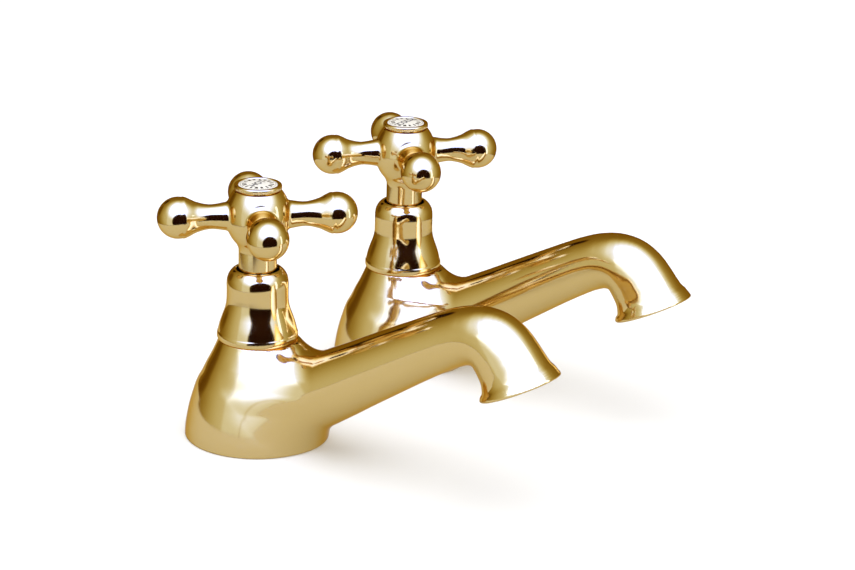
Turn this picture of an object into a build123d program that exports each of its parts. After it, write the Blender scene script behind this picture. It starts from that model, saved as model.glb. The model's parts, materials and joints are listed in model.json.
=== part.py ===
from build123d import *
import math
import os

# A pair of half-inch basin pillar taps, hot and cold, each with a cast body and fixed spout, a bell-shaped
# bonnet, a cross handle and a washer valve on a rising spindle. Millimetres, +Z up.
# Origin: centre of the hot tap's base ring, on the basin's deck. +X runs along the spouts, out over the bowl,
# and +Y runs from the hot tap to the cold one. Both valves are modelled shut.

# ---- driving dimensions -------------------------------------------------------------------------------------
TAP_CENTRES = 101.6          # hole centres in the deck: the 4 inch standard
HANDLE_YAW = {"hot": 41.7, "cold": 44.1}   # direction of one arm from +X with the valve shut, degrees

BASE_RADIUS = 27.0           # foot of the body, on the deck
BODY_HEIGHT = 38.0           # deck to the face that the bonnet sits on
BODY_TOP_RADIUS = 14.3
CASTING_WALL = 3.4
FLOOR_THICKNESS = 2.5        # casting between the hollow foot and the water chamber
FOOT_RIM_WIDTH = 3.5         # ring of casting that stands on the deck
FOOT_EDGE_RADIUS = 0.6

SPOUT_REACH = 111.3          # tap axis to the centre of the outlet
OUTLET_HEIGHT = 42.3         # deck to the centre of the outlet
OUTLET_RADIUS = 16.1         # over the flared rim
OUTLET_TILT = 25.0           # the rim leans out over the bowl, degrees from level
OUTLET_LIP = 1.7             # thickness of the rim
OUTLET_FLARE = 9.0           # depth of the cone inside the outlet
SPOUT_ROOT_RADIUS = 14.3
SPOUT_WAIST_RADIUS = 10.4    # thinnest, just before the bend
SPOUT_BEND_RADIUS = 11.8
SPOUT_THROAT_RADIUS = 12.15   # where the flare begins
SPOUT_WALL = 3.0
SPOUT_ROOT_FILLET = 6.0

BONNET_HEIGHT = 27.0
BONNET_FOOT_RADIUS = 14.5
BONNET_BEAD_RADIUS = 15.0
BONNET_BEAD_HEIGHT = 3.0
BONNET_SKIRT_RADIUS = 14.7   # just above the bead
BONNET_BARREL_RADIUS = 11.45
BONNET_SHOULDER_HEIGHT = 4.0
BONNET_THREAD_LENGTH = 5.5   # the stretch that screws onto the headgear's collar
BONNET_WALL = 1.4
NECK_GAP = 0.8               # daylight round the handle's neck

NECK_RADIUS = 7.05
NECK_BORE_RADIUS = 5.6
NECK_IN_BONNET = 8.5         # how far the neck hangs into the bonnet with the valve shut
ARM_AXIS_ABOVE_BONNET = 20.3
BOSS_RADIUS = 12.0
BOSS_HALF_HEIGHT = 14.5
BOSS_TOP_ABOVE_ARMS = 9.8    # flat that the index cap screws down on
ARM_REACH = 29.2             # tap axis to the centre of the ball end
ARM_BALL_RADIUS = 7.7
ARM_ROOT_RADIUS = 5.1
ARM_WAIST_RADIUS = 4.5
ARM_WAIST_FROM_BALL = 11.7

CAP_RADIUS = 8.8
CAP_THICKNESS = 2.2
CAP_EDGE_RADIUS = 0.7
CAP_FOOT = 0.5               # narrower step that leaves a groove above the boss
INDEX_RADIUS = 7.15
INDEX_DEPTH = 0.8            # how deep the disc sits in the cap
INDEX_CROWN = 0.25           # rise of the disc's glazed face above the cap
CAP_STUB_RADIUS = 4.2
CAP_STUB_LENGTH = 6.0

TAIL_RADIUS = 10.48          # G 1/2 male thread, over its crests
TAIL_BORE_RADIUS = 5.75
TAIL_LENGTH = 52.0           # below the deck
TAIL_IN_BODY = 7.0
TAIL_END_STRETCH = 16.0      # thread kept for the supply connector, below a relief groove
TAIL_GROOVE_WIDTH = 2.0
TAIL_GROOVE_RADIUS = 9.5
INLET_SOCKET_RADIUS = 6.75
INLET_SOCKET_DEPTH = 10.0

GASKET_THICKNESS = 1.5
DECK_THICKNESS = 16.0        # the basin's deck, clamped between the foot and the deck washer
DECK_WASHER_RADIUS = 21.0
DECK_WASHER_THICKNESS = 2.0
BACKNUT_ACROSS_FLATS = 30.0
BACKNUT_FLANGE_RADIUS = 18.5
BACKNUT_FLANGE_THICKNESS = 1.8
BACKNUT_HEIGHT = 9.0

SEAT_HEIGHT = 16.5
SEAT_BORE_RADIUS = 5.5
SEAT_RADIUS = 7.5
TAP_WASHER_RADIUS = 7.9
TAP_WASHER_THICKNESS = 3.5
JUMPER_PLATE_RADIUS = 8.0
JUMPER_PLATE_THICKNESS = 1.5
JUMPER_STEM_RADIUS = 3.0
JUMPER_STEM_LENGTH = 14.5
JUMPER_STUB_RADIUS = 2.0
WASHER_NUT_ACROSS_FLATS = 6.0
WASHER_NUT_HEIGHT = 2.5
VALVE_LIFT = 5.4             # travel of the valve from shut to fully open

HEADGEAR_RADIUS = 10.45      # thread that holds the headgear in the body
HEADGEAR_CLEAR_OF_VALVE = 0.6
HEADGEAR_HEX_ACROSS_FLATS = 22.0
HEADGEAR_HEX_HEIGHT = 5.0
HEADGEAR_COLLAR_RADIUS = 10.2
HEADGEAR_COLLAR_HEIGHT = 8.0
SEAL_WASHER_RADIUS = 12.5
SEAL_WASHER_THICKNESS = 1.2
PACKING_RADIUS = 7.45
PACKING_HEIGHT = 3.5
STUFFING_BOX_DEPTH = 6.5
GLAND_HEX_ACROSS_FLATS = 15.0
GLAND_HEX_HEIGHT = 3.4

SPINDLE_RADIUS = 5.0
SPINDLE_NECK_RADIUS = 4.7
SPINDLE_SQUARE = 6.4
SPINDLE_SQUARE_LENGTH = 7.0
SCREW_SHANK_RADIUS = 1.95
SCREW_LENGTH = 13.0
SCREW_HEAD_RADIUS = 3.6
SCREW_HEAD_HEIGHT = 3.0
SCREW_SLOT_WIDTH = 1.0
SCREW_SLOT_DEPTH = 1.2
SCREW_WEB = 2.5              # casting under the screw's head
SCREW_HEAD_TO_CAP = 0.5

THREAD_CLEARANCE = 0.05      # radial, on pieces that are screwed up tight
RUNNING_CLEARANCE = 0.06     # radial, on pieces that turn or slide
END_PLAY = 0.05              # spindle to jumper plate
CUT_OVERRUN = 1.0            # how far a cutting tool runs past the face it cuts

# ---- heights worked out from those --------------------------------------------------------------------------
bonnet_top = BODY_HEIGHT + BONNET_HEIGHT
neck_bottom = bonnet_top - NECK_IN_BONNET
arm_height = bonnet_top + ARM_AXIS_ABOVE_BONNET
boss_top = arm_height + BOSS_TOP_ABOVE_ARMS
plate_bottom = SEAT_HEIGHT + TAP_WASHER_THICKNESS
plate_top = plate_bottom + JUMPER_PLATE_THICKNESS
headgear_bottom = plate_top + VALVE_LIFT + HEADGEAR_CLEAR_OF_VALVE
hex_top = BODY_HEIGHT + HEADGEAR_HEX_HEIGHT
collar_top = hex_top + HEADGEAR_COLLAR_HEIGHT
box_bottom = collar_top - STUFFING_BOX_DEPTH
packing_top = box_bottom + PACKING_HEIGHT
gland_top = collar_top + GLAND_HEX_HEIGHT
spindle_bottom = plate_top + END_PLAY
screw_seat = boss_top - CAP_STUB_LENGTH - SCREW_HEAD_TO_CAP - SCREW_HEAD_HEIGHT
square_top = screw_seat - SCREW_WEB
square_bottom = square_top - SPINDLE_SQUARE_LENGTH
bonnet_hole_radius = NECK_RADIUS + NECK_GAP
foot_recess_radius = BASE_RADIUS - FOOT_RIM_WIDTH
socket_radius = TAIL_RADIUS + THREAD_CLEARANCE
chamber_floor = TAIL_IN_BODY + FLOOR_THICKNESS
pocket_radius = CAP_STUB_RADIUS + THREAD_CLEARANCE


# ---- helpers ------------------------------------------------------------------------------------------------
def tube(outer, inner, bottom, top):
    """A plain ring or, with inner 0, a disc about the tap's axis."""
    solid = Pos(0, 0, bottom) * Cylinder(outer, top - bottom, align=(Align.CENTER, Align.CENTER, Align.MIN))
    if inner:
        solid -= bore(inner, bottom - CUT_OVERRUN, top + CUT_OVERRUN)
    return solid


def bore(radius, bottom, top):
    """The cutter for a hole about the tap's axis."""
    return Pos(0, 0, bottom) * Cylinder(radius, top - bottom, align=(Align.CENTER, Align.CENTER, Align.MIN))


def hexagon(across_flats, bottom, top):
    """A hexagonal prism about the tap's axis."""
    outline = RegularPolygon(across_flats / 2, 6, major_radius=False)
    return Pos(0, 0, bottom) * extrude(outline, top - bottom)


def square_bar(side, bottom, top):
    """A square prism about the tap's axis."""
    return Pos(0, 0, bottom) * extrude(Rectangle(side, side), top - bottom)


def turned(*edges):
    """A solid turned about Z from an outline drawn in the XZ plane; the outline closes itself."""
    return revolve(make_face(Wire(list(edges))), Axis.Z)


def outline_line(*points):
    """Straight runs through (radius, height) points."""
    return Polyline(*[(r, 0, z) for r, z in points]).edges()


def outline_curve(points, tangents=None):
    """One smooth curve through (radius, height) points."""
    if tangents:
        return Spline(*[(r, 0, z) for r, z in points], tangents=[(r, 0, z) for r, z in tangents]).edge()
    return Spline(*[(r, 0, z) for r, z in points]).edge()


def outline_arc(centre, radius, start, end):
    """An arc in the XZ plane; angles from +X towards +Z, degrees."""
    points = []
    for angle in (start, (start + end) / 2, end):
        turn = math.radians(angle)
        points.append((centre[0] + radius * math.cos(turn), 0, centre[1] + radius * math.sin(turn)))
    return ThreePointArc(*points).edge()


# ---- tap body -----------------------------------------------------------------------------------------------
# The bell's side: how much of the flare is left at each share of the body's height.
BELL_SHAPE = ((0.0, 1.0), (0.18, 0.945), (0.355, 0.835), (0.547, 0.646), (0.732, 0.37), (0.913, 0.107),
              (1.0, 0.0))


def bell_radius(share_left):
    return BODY_TOP_RADIUS + (BASE_RADIUS - BODY_TOP_RADIUS) * share_left


def bell():
    tall = BODY_HEIGHT - FOOT_EDGE_RADIUS
    side = [(bell_radius(left), FOOT_EDGE_RADIUS + up * tall) for up, left in BELL_SHAPE]
    foot = outline_line((0, 0), (BASE_RADIUS - FOOT_EDGE_RADIUS, 0))
    edge = outline_arc((BASE_RADIUS - FOOT_EDGE_RADIUS, FOOT_EDGE_RADIUS), FOOT_EDGE_RADIUS, -90, 0)
    top = outline_line((BODY_TOP_RADIUS, BODY_HEIGHT), (0, BODY_HEIGHT), (0, 0))
    return Rot(0, 0, 180) * turned(*foot, edge, outline_curve(side), *top)


# The spout's centreline, in the XZ plane: a straight run from its root, then a bend whose points hang on the
# outlet's centre.
SPOUT_ROOT = (14.0, 14.8)
BEND_POINTS = ((-25.0, 13.9), (-11.0, 14.2), (0.0, 0.0))
BEND_STATIONS = (0.0, 0.12, 0.3, 0.5, 0.7, 0.85, 0.95, 1.0)
bend_radii = (SPOUT_WAIST_RADIUS, 0.95 * SPOUT_WAIST_RADIUS + 0.05 * SPOUT_BEND_RADIUS,
              0.5 * (SPOUT_WAIST_RADIUS + SPOUT_BEND_RADIUS), SPOUT_BEND_RADIUS,
              SPOUT_THROAT_RADIUS, 0.8 * SPOUT_THROAT_RADIUS + 0.2 * OUTLET_RADIUS,
              0.5 * (SPOUT_THROAT_RADIUS + OUTLET_RADIUS), OUTLET_RADIUS)


def spout_path():
    bend = [(SPOUT_REACH + dx, 0, OUTLET_HEIGHT + dz) for dx, dz in BEND_POINTS]
    start = (SPOUT_ROOT[0], 0, SPOUT_ROOT[1])
    run = Line(start, bend[0])
    lean = math.radians(OUTLET_TILT)
    return run, Spline(*bend, tangents=[run % 1, Vector(math.sin(lean), 0, -math.cos(lean))])


def cone_along(line, start_radius, end_radius):
    """A round taper from one end of a straight line to the other."""
    middle = Plane(origin=line @ 0.5, x_dir=(0, 1, 0), z_dir=line % 0)
    return middle * Cone(start_radius, end_radius, line.length)


def spout():
    run, bend = spout_path()
    sections = [Plane(origin=bend @ at, x_dir=(0, 1, 0), z_dir=bend % at) * Circle(radius)
                for at, radius in zip(BEND_STATIONS, bend_radii)]
    return cone_along(run, SPOUT_ROOT_RADIUS, SPOUT_WAIST_RADIUS) + loft(sections)


def spout_waterway():
    """The cutter for the spout's inside; it starts above the floor and runs out past the rim."""
    run, bend = spout_path()
    pipe = SPOUT_WAIST_RADIUS - SPOUT_WALL
    mouth = OUTLET_RADIUS - OUTLET_LIP
    inside = cone_along(run, SPOUT_ROOT_RADIUS - SPOUT_WALL, pipe)
    inside += sweep(Plane(origin=bend @ 0, x_dir=(0, 1, 0), z_dir=bend % 0) * Circle(pipe), bend)
    outlet = Plane(origin=bend @ 1, x_dir=(0, 1, 0), z_dir=bend % 1)
    inside += outlet * Pos(0, 0, -OUTLET_FLARE / 2) * Cone(pipe, mouth, OUTLET_FLARE)
    inside += outlet * bore(mouth, 0, CUT_OVERRUN)
    return inside - bore(2 * BASE_RADIUS, -BASE_RADIUS, chamber_floor)


def chamber():
    """The space round the seat: wide at the floor, closing in to the headgear's thread."""
    wide = bell_radius(BELL_SHAPE[2][1]) - CASTING_WALL
    waist = bell_radius(BELL_SHAPE[4][1]) - CASTING_WALL
    shoulder = headgear_bottom + 1.5
    thread = HEADGEAR_RADIUS + THREAD_CLEARANCE
    return turned(*outline_line((0, chamber_floor), (wide, chamber_floor), (wide, chamber_floor + 4),
                                (waist, headgear_bottom), (thread, shoulder), (0, shoulder), (0, chamber_floor)))


def tap_body():
    outside = bell() + spout()
    outside = fillet(root_edges(outside), SPOUT_ROOT_FILLET)
    hollow = chamber() + spout_waterway()
    riser = tube(SEAT_RADIUS, 0, chamber_floor, SEAT_HEIGHT)
    solid = outside - (hollow - riser)
    solid -= bore(HEADGEAR_RADIUS + THREAD_CLEARANCE, headgear_bottom, BODY_HEIGHT + CUT_OVERRUN)
    solid -= bore(SEAL_WASHER_RADIUS + 0.1, BODY_HEIGHT - SEAL_WASHER_THICKNESS, BODY_HEIGHT + CUT_OVERRUN)
    solid -= bore(SEAT_BORE_RADIUS, 0, SEAT_HEIGHT + CUT_OVERRUN)
    solid -= bore(socket_radius, -CUT_OVERRUN, TAIL_IN_BODY)
    solid -= bore(foot_recess_radius, -CUT_OVERRUN, GASKET_THICKNESS)
    solid -= tube(foot_recess_radius - 1, socket_radius + 3, 0, TAIL_IN_BODY)
    return solid


def root_edges(outside):
    """The edge loop where the spout leaves the bell."""
    return [e for e in outside.edges()
            if e.geom_type not in (GeomType.LINE, GeomType.CIRCLE) and e.center().X < SPOUT_REACH / 2
            and e.bounding_box().size.Y > SPOUT_ROOT_RADIUS]


# ---- under the deck -----------------------------------------------------------------------------------------
def tail():
    solid = tube(TAIL_RADIUS, TAIL_BORE_RADIUS, -TAIL_LENGTH, TAIL_IN_BODY)
    groove_bottom = TAIL_END_STRETCH - TAIL_LENGTH
    solid -= tube(TAIL_RADIUS + CUT_OVERRUN, TAIL_GROOVE_RADIUS, groove_bottom, groove_bottom + TAIL_GROOVE_WIDTH)
    return solid - bore(INLET_SOCKET_RADIUS, -TAIL_LENGTH - CUT_OVERRUN, INLET_SOCKET_DEPTH - TAIL_LENGTH)


def base_gasket():
    return tube(foot_recess_radius - 0.1, TAIL_RADIUS + 0.4, 0, GASKET_THICKNESS)


def deck_washer():
    return tube(DECK_WASHER_RADIUS, TAIL_RADIUS + 0.4, -DECK_THICKNESS - DECK_WASHER_THICKNESS, -DECK_THICKNESS)


def backnut():
    top = -DECK_THICKNESS - DECK_WASHER_THICKNESS
    flange_bottom = top - BACKNUT_FLANGE_THICKNESS
    solid = hexagon(BACKNUT_ACROSS_FLATS, top - BACKNUT_HEIGHT, flange_bottom)
    solid += tube(BACKNUT_FLANGE_RADIUS, 0, flange_bottom, top)
    return solid - bore(TAIL_RADIUS + THREAD_CLEARANCE, top - BACKNUT_HEIGHT - CUT_OVERRUN, top + CUT_OVERRUN)


# ---- valve --------------------------------------------------------------------------------------------------
def headgear():
    solid = tube(HEADGEAR_RADIUS, 0, headgear_bottom, BODY_HEIGHT)
    solid += hexagon(HEADGEAR_HEX_ACROSS_FLATS, BODY_HEIGHT, hex_top)
    solid += tube(HEADGEAR_COLLAR_RADIUS, 0, hex_top, collar_top)
    solid -= bore(PACKING_RADIUS + THREAD_CLEARANCE, box_bottom, collar_top + CUT_OVERRUN)
    return solid - bore(SPINDLE_RADIUS + RUNNING_CLEARANCE, headgear_bottom - CUT_OVERRUN, collar_top)


def headgear_washer():
    return tube(SEAL_WASHER_RADIUS, HEADGEAR_RADIUS + 0.15, BODY_HEIGHT - SEAL_WASHER_THICKNESS, BODY_HEIGHT)


def gland_packing():
    return tube(PACKING_RADIUS, SPINDLE_RADIUS + RUNNING_CLEARANCE, box_bottom, packing_top)


def gland_nut():
    solid = tube(PACKING_RADIUS, 0, packing_top, collar_top)
    solid += hexagon(GLAND_HEX_ACROSS_FLATS, collar_top, gland_top)
    return solid - bore(SPINDLE_RADIUS + RUNNING_CLEARANCE, packing_top - CUT_OVERRUN, gland_top + CUT_OVERRUN)


def jumper():
    solid = tube(JUMPER_PLATE_RADIUS, 0, plate_bottom, plate_top)
    solid += tube(JUMPER_STEM_RADIUS, 0, plate_top, plate_top + JUMPER_STEM_LENGTH)
    return solid + tube(JUMPER_STUB_RADIUS, 0, SEAT_HEIGHT - WASHER_NUT_HEIGHT - 0.3, plate_bottom)


def tap_washer():
    return tube(TAP_WASHER_RADIUS, JUMPER_STUB_RADIUS + THREAD_CLEARANCE, SEAT_HEIGHT, plate_bottom)


def washer_nut():
    solid = hexagon(WASHER_NUT_ACROSS_FLATS, SEAT_HEIGHT - WASHER_NUT_HEIGHT, SEAT_HEIGHT)
    return solid - bore(JUMPER_STUB_RADIUS + THREAD_CLEARANCE, 0, SEAT_HEIGHT + CUT_OVERRUN)


def spindle():
    solid = tube(SPINDLE_RADIUS, 0, spindle_bottom, gland_top + 1)
    solid += tube(SPINDLE_NECK_RADIUS, 0, gland_top, square_bottom)
    solid += square_bar(SPINDLE_SQUARE, square_bottom, square_top - 0.3)
    stem_top = plate_top + JUMPER_STEM_LENGTH
    solid -= bore(JUMPER_STEM_RADIUS + RUNNING_CLEARANCE, spindle_bottom - CUT_OVERRUN, stem_top + 0.5)
    return solid - bore(SCREW_SHANK_RADIUS + THREAD_CLEARANCE, screw_seat - SCREW_LENGTH - 0.5, square_top)


# ---- bonnet -------------------------------------------------------------------------------------------------
# The bonnet's side above the bead: share of the height to its shoulder, share of the flare left.
BONNET_SHAPE = ((0.0, 1.0), (0.13, 0.82), (0.29, 0.48), (0.38, 0.28), (0.47, 0.125), (0.57, 0.035), (0.68, 0.0),
                (1.0, 0.0))


def bonnet():
    foot, top = BODY_HEIGHT, bonnet_top
    bead_top = foot + BONNET_BEAD_HEIGHT
    shoulder = top - BONNET_SHOULDER_HEIGHT
    flare = BONNET_SKIRT_RADIUS - BONNET_BARREL_RADIUS
    bead = ThreePointArc((BONNET_FOOT_RADIUS, 0, foot), (BONNET_BEAD_RADIUS, 0, foot + 0.55 * BONNET_BEAD_HEIGHT),
                         (BONNET_SKIRT_RADIUS, 0, bead_top))
    side = outline_curve([(BONNET_BARREL_RADIUS + left * flare, bead_top + up * (shoulder - bead_top))
                          for up, left in BONNET_SHAPE])
    across = BONNET_BARREL_RADIUS - bonnet_hole_radius
    round_top = outline_curve([(BONNET_BARREL_RADIUS, shoulder),
                               (bonnet_hole_radius + 0.78 * across, shoulder + 0.53 * BONNET_SHOULDER_HEIGHT),
                               (bonnet_hole_radius + 0.2 * across, top)], [(0, 1), (-1, 0.35)])
    thread = HEADGEAR_COLLAR_RADIUS + THREAD_CLEARANCE
    barrel = BONNET_BARREL_RADIUS - BONNET_WALL
    room = BONNET_FOOT_RADIUS - BONNET_WALL
    inside = outline_line((bonnet_hole_radius + 0.2 * across, top), (bonnet_hole_radius, top),
                          (bonnet_hole_radius, top - BONNET_WALL), (barrel, shoulder), (barrel, collar_top),
                          (thread, collar_top), (thread, collar_top - BONNET_THREAD_LENGTH),
                          (room, hex_top + 0.5), (room, foot), (BONNET_FOOT_RADIUS, foot))
    return turned(bead.edge(), side, round_top, *inside)


# ---- handle -------------------------------------------------------------------------------------------------
def arm():
    """One arm along +X, turned about its own axis, with a ball at its end."""
    join = math.radians(125)
    ball = outline_arc((ARM_REACH, 0), ARM_BALL_RADIUS, 125, 0)
    meet = (ARM_REACH + ARM_BALL_RADIUS * math.cos(join), ARM_BALL_RADIUS * math.sin(join))
    start = (BOSS_RADIUS / 2, ARM_ROOT_RADIUS + 0.6)
    side = Spline(*[(x, 0, r) for x, r in (start, (BOSS_RADIUS, ARM_ROOT_RADIUS),
                                           (ARM_REACH - ARM_WAIST_FROM_BALL, ARM_WAIST_RADIUS), meet)],
                  tangents=[(1, 0, -0.1), (math.sin(join), 0, -math.cos(join))]).edge()
    axis = outline_line((ARM_REACH + ARM_BALL_RADIUS, 0), (start[0], 0), start)
    return revolve(make_face(Wire([side, ball, *axis])), Axis.X)


def boss():
    half = Ellipse(BOSS_RADIUS, BOSS_HALF_HEIGHT)
    half &= Pos(BOSS_RADIUS, 0) * Rectangle(2 * BOSS_RADIUS, 4 * BOSS_RADIUS)
    upright = Plane(origin=(0, 0, arm_height), x_dir=(1, 0, 0), z_dir=(0, -1, 0))
    whole = revolve(upright * half, Axis.Z)
    return whole - bore(2 * BOSS_RADIUS, boss_top, boss_top + BOSS_RADIUS)


def handle():
    solid = boss() + tube(NECK_RADIUS, 0, neck_bottom, arm_height)
    for quarter in range(4):
        solid += Pos(0, 0, arm_height) * Rot(0, 0, 90 * quarter) * arm()
    solid -= bore(NECK_BORE_RADIUS, neck_bottom - CUT_OVERRUN, square_bottom)
    solid -= square_bar(SPINDLE_SQUARE + 2 * THREAD_CLEARANCE, square_bottom - CUT_OVERRUN, square_top)
    solid -= bore(SCREW_SHANK_RADIUS + 0.15, square_bottom, screw_seat + CUT_OVERRUN)
    return solid - bore(pocket_radius, screw_seat, boss_top + CUT_OVERRUN)


def handle_screw():
    head_top = screw_seat + SCREW_HEAD_HEIGHT
    solid = tube(SCREW_HEAD_RADIUS, 0, screw_seat, head_top)
    solid += tube(SCREW_SHANK_RADIUS, 0, screw_seat - SCREW_LENGTH, screw_seat)
    slot = Box(3 * SCREW_HEAD_RADIUS, SCREW_SLOT_WIDTH, 2 * SCREW_SLOT_DEPTH)
    return solid - Pos(0, 0, head_top) * slot


def index_cap():
    rim = tube(CAP_RADIUS, 0, boss_top + CAP_FOOT, boss_top + CAP_THICKNESS)
    rim = fillet(rim.edges().sort_by(Axis.Z)[-1:], CAP_EDGE_RADIUS)
    solid = rim + tube(CAP_RADIUS - 1.2, 0, boss_top, boss_top + CAP_FOOT)
    solid += tube(CAP_STUB_RADIUS, 0, boss_top - CAP_STUB_LENGTH, boss_top)
    top = boss_top + CAP_THICKNESS
    return solid - bore(INDEX_RADIUS + THREAD_CLEARANCE, top - INDEX_DEPTH, top + CUT_OVERRUN)


def index_disc():
    top = boss_top + CAP_THICKNESS
    crown = top + INDEX_CROWN
    rise = INDEX_CROWN + INDEX_DEPTH / 4
    face_radius = (INDEX_RADIUS ** 2 + rise ** 2) / (2 * rise)
    return tube(INDEX_RADIUS, 0, top - INDEX_DEPTH, crown) & Pos(0, 0, crown - face_radius) * Sphere(face_radius)


# ---- one STEP file for each piece ---------------------------------------------------------------------------
FIXED = {"tap_body": tap_body, "tail": tail, "base_gasket": base_gasket, "deck_washer": deck_washer,
         "backnut": backnut, "headgear": headgear, "headgear_washer": headgear_washer,
         "gland_packing": gland_packing, "gland_nut": gland_nut, "bonnet": bonnet,
         "jumper": jumper, "tap_washer": tap_washer, "washer_nut": washer_nut}
TURNING = {"spindle": spindle, "handle": handle, "handle_screw": handle_screw, "index_cap": index_cap,
           "index_disc": index_disc}

os.makedirs("parts", exist_ok=True)
for names in (FIXED, TURNING):
    for name, make in names.items():
        piece = make()
        for tap, along in (("hot", 0.0), ("cold", TAP_CENTRES)):
            yaw = HANDLE_YAW[tap] if names is TURNING else 0
            placed = Pos(0, along, 0) * Rot(0, 0, yaw) * piece
            export_step(placed, f"parts/{tap}_{name}.step")
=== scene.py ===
# %% [markdown]
# # A pair of basin pillar taps in polished gold
#
# Two taps stand side by side on a deck: each has a bell-shaped body with a rising spout cast on, a domed
# bonnet above it, and a cross handle with four ball-ended arms under a small white index. The engineering
# model gives every piece its place, in metres. This lesson gives the pieces the surfaces that a polisher
# would: smooth blends where two shapes are cast as one, cut threads, knurling and a mirror finish.
#
# The first cell loads that model and keeps its box, which the last cell prints.

# %% Load the engineering model
import json
import math
import bpy
import numpy as np
from mathutils import Matrix, Vector

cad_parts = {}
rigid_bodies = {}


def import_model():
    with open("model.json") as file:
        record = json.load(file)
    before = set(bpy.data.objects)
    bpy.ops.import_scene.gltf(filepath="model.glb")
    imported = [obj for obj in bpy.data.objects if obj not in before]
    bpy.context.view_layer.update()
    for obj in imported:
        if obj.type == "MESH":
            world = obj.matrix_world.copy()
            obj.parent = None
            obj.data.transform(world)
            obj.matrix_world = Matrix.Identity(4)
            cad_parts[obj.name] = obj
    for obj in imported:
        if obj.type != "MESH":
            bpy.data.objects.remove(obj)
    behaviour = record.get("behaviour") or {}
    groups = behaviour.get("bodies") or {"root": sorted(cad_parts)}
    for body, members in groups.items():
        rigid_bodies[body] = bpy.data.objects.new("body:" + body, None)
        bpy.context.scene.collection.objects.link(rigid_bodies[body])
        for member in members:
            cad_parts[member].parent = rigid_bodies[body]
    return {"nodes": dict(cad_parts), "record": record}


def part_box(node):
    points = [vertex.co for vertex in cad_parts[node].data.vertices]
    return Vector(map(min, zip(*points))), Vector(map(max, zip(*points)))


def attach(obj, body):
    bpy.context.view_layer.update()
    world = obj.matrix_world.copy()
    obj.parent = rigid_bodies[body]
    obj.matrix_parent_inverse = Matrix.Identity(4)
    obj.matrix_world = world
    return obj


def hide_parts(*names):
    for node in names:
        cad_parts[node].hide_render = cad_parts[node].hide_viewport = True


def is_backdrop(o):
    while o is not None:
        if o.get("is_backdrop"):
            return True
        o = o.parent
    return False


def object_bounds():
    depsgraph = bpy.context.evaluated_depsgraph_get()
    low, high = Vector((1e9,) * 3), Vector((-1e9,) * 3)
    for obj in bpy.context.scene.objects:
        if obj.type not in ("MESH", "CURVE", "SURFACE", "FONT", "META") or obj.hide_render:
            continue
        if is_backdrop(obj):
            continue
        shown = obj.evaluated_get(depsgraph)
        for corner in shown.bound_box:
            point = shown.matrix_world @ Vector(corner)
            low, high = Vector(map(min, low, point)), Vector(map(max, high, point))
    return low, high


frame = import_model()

cad_low, cad_high = (tuple(corner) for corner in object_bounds())
MM = 0.001
TAPS = ("hot", "cold")
cad_size = [round((b - a) / MM, 1) for a, b in zip(cad_low, cad_high)]
print(len(frame["nodes"]), "pieces in the frame,", cad_size, "mm")

# %% [markdown]
# ## Where things are
#
# Both taps are alike, so every shape is made once, in millimetres about its own tap's axis with the deck at
# height 0, and then stood at each tap. The heights come from the boxes of the engineering model's pieces:
# a profile drawn against them still fits if the model changes.

# %% Heights and radii read from the model
def low(node):
    """The lowest corner of a piece, in millimetres."""
    return np.array(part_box(node)[0]) / MM


def high(node):
    """The highest corner of a piece, in millimetres."""
    return np.array(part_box(node)[1]) / MM


def axis_of(tap):
    """Where a tap's axis meets the deck, in millimetres."""
    middle = (low(f"{tap}_tail") + high(f"{tap}_tail")) / 2
    return np.array((middle[0], middle[1], low(f"{tap}_tap_body")[2]))


foot_radius = axis_of("hot")[0] - low("hot_tap_body")[0]
outlet_edge = high("hot_tap_body")[0] - axis_of("hot")[0]
spout_top = high("hot_tap_body")[2]
body_top, bonnet_top = low("hot_bonnet")[2], high("hot_bonnet")[2]
neck_bottom, boss_top = low("hot_handle")[2], high("hot_handle")[2]
cap_top, disc_top = high("hot_index_cap")[2], high("hot_index_disc")[2]
print("foot radius", round(foot_radius, 1), "body", round(body_top, 1), "bonnet", round(bonnet_top, 1),
      "boss", round(boss_top, 1), "outlet edge", round(outlet_edge, 1), "spout top", round(spout_top, 1))

# %% [markdown]
# ## From a formula to a skin
#
# A casting has no seams: where the spout leaves the bell, one surface flows into the other. Boolean joints
# leave a hard line and broken shading there, which a mirror finish shows at once. So the castings are
# written as distance formulas instead: a formula gives, for any point, how far it is outside the metal
# (negative inside). Two shapes join with a rounded minimum, which is the fillet.
#
# To turn a formula into a mesh, space is cut into small cubes. Each cube that the surface passes through
# gets one vertex, and each edge of the grid that crosses the surface gets one four-sided face. The
# vertices are then pulled exactly onto the surface, along the formula's slope, and evened out.

# %% Joining and cutting distance formulas
def joined(a, b, radius):
    """Two shapes as one casting, with a fillet of that radius between them."""
    inside_corner = np.sqrt(np.maximum(radius - a, 0) ** 2 + np.maximum(radius - b, 0) ** 2)
    return np.maximum(radius, np.minimum(a, b)) - inside_corner


def common(a, b, radius):
    """What two shapes share, with its edges rounded by that radius."""
    return -joined(-a, -b, radius)


# %% Meshing a distance formula
SLOPE_STEP = 0.01
LONGEST_MOVE = 0.5


def gradient(formula, points, here):
    """The formula's slope at each point, by a small step each way."""
    ahead = [formula(*(points + SLOPE_STEP * way).T) for way in np.eye(3)]
    return np.stack([(value - here) / SLOPE_STEP for value in ahead], axis=1)


def pulled_on(formula, points, rounds):
    """Moves the points onto the surface, each along the slope."""
    for _ in range(rounds):
        here = formula(*points.T)
        slope = gradient(formula, points, here)
        move = (here / np.maximum((slope ** 2).sum(axis=1), 0.05))[:, None] * slope
        reach = np.maximum(np.linalg.norm(move, axis=1), 1e-9)
        points = points - move * np.minimum(1, LONGEST_MOVE / reach)[:, None]
    return points


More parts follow.
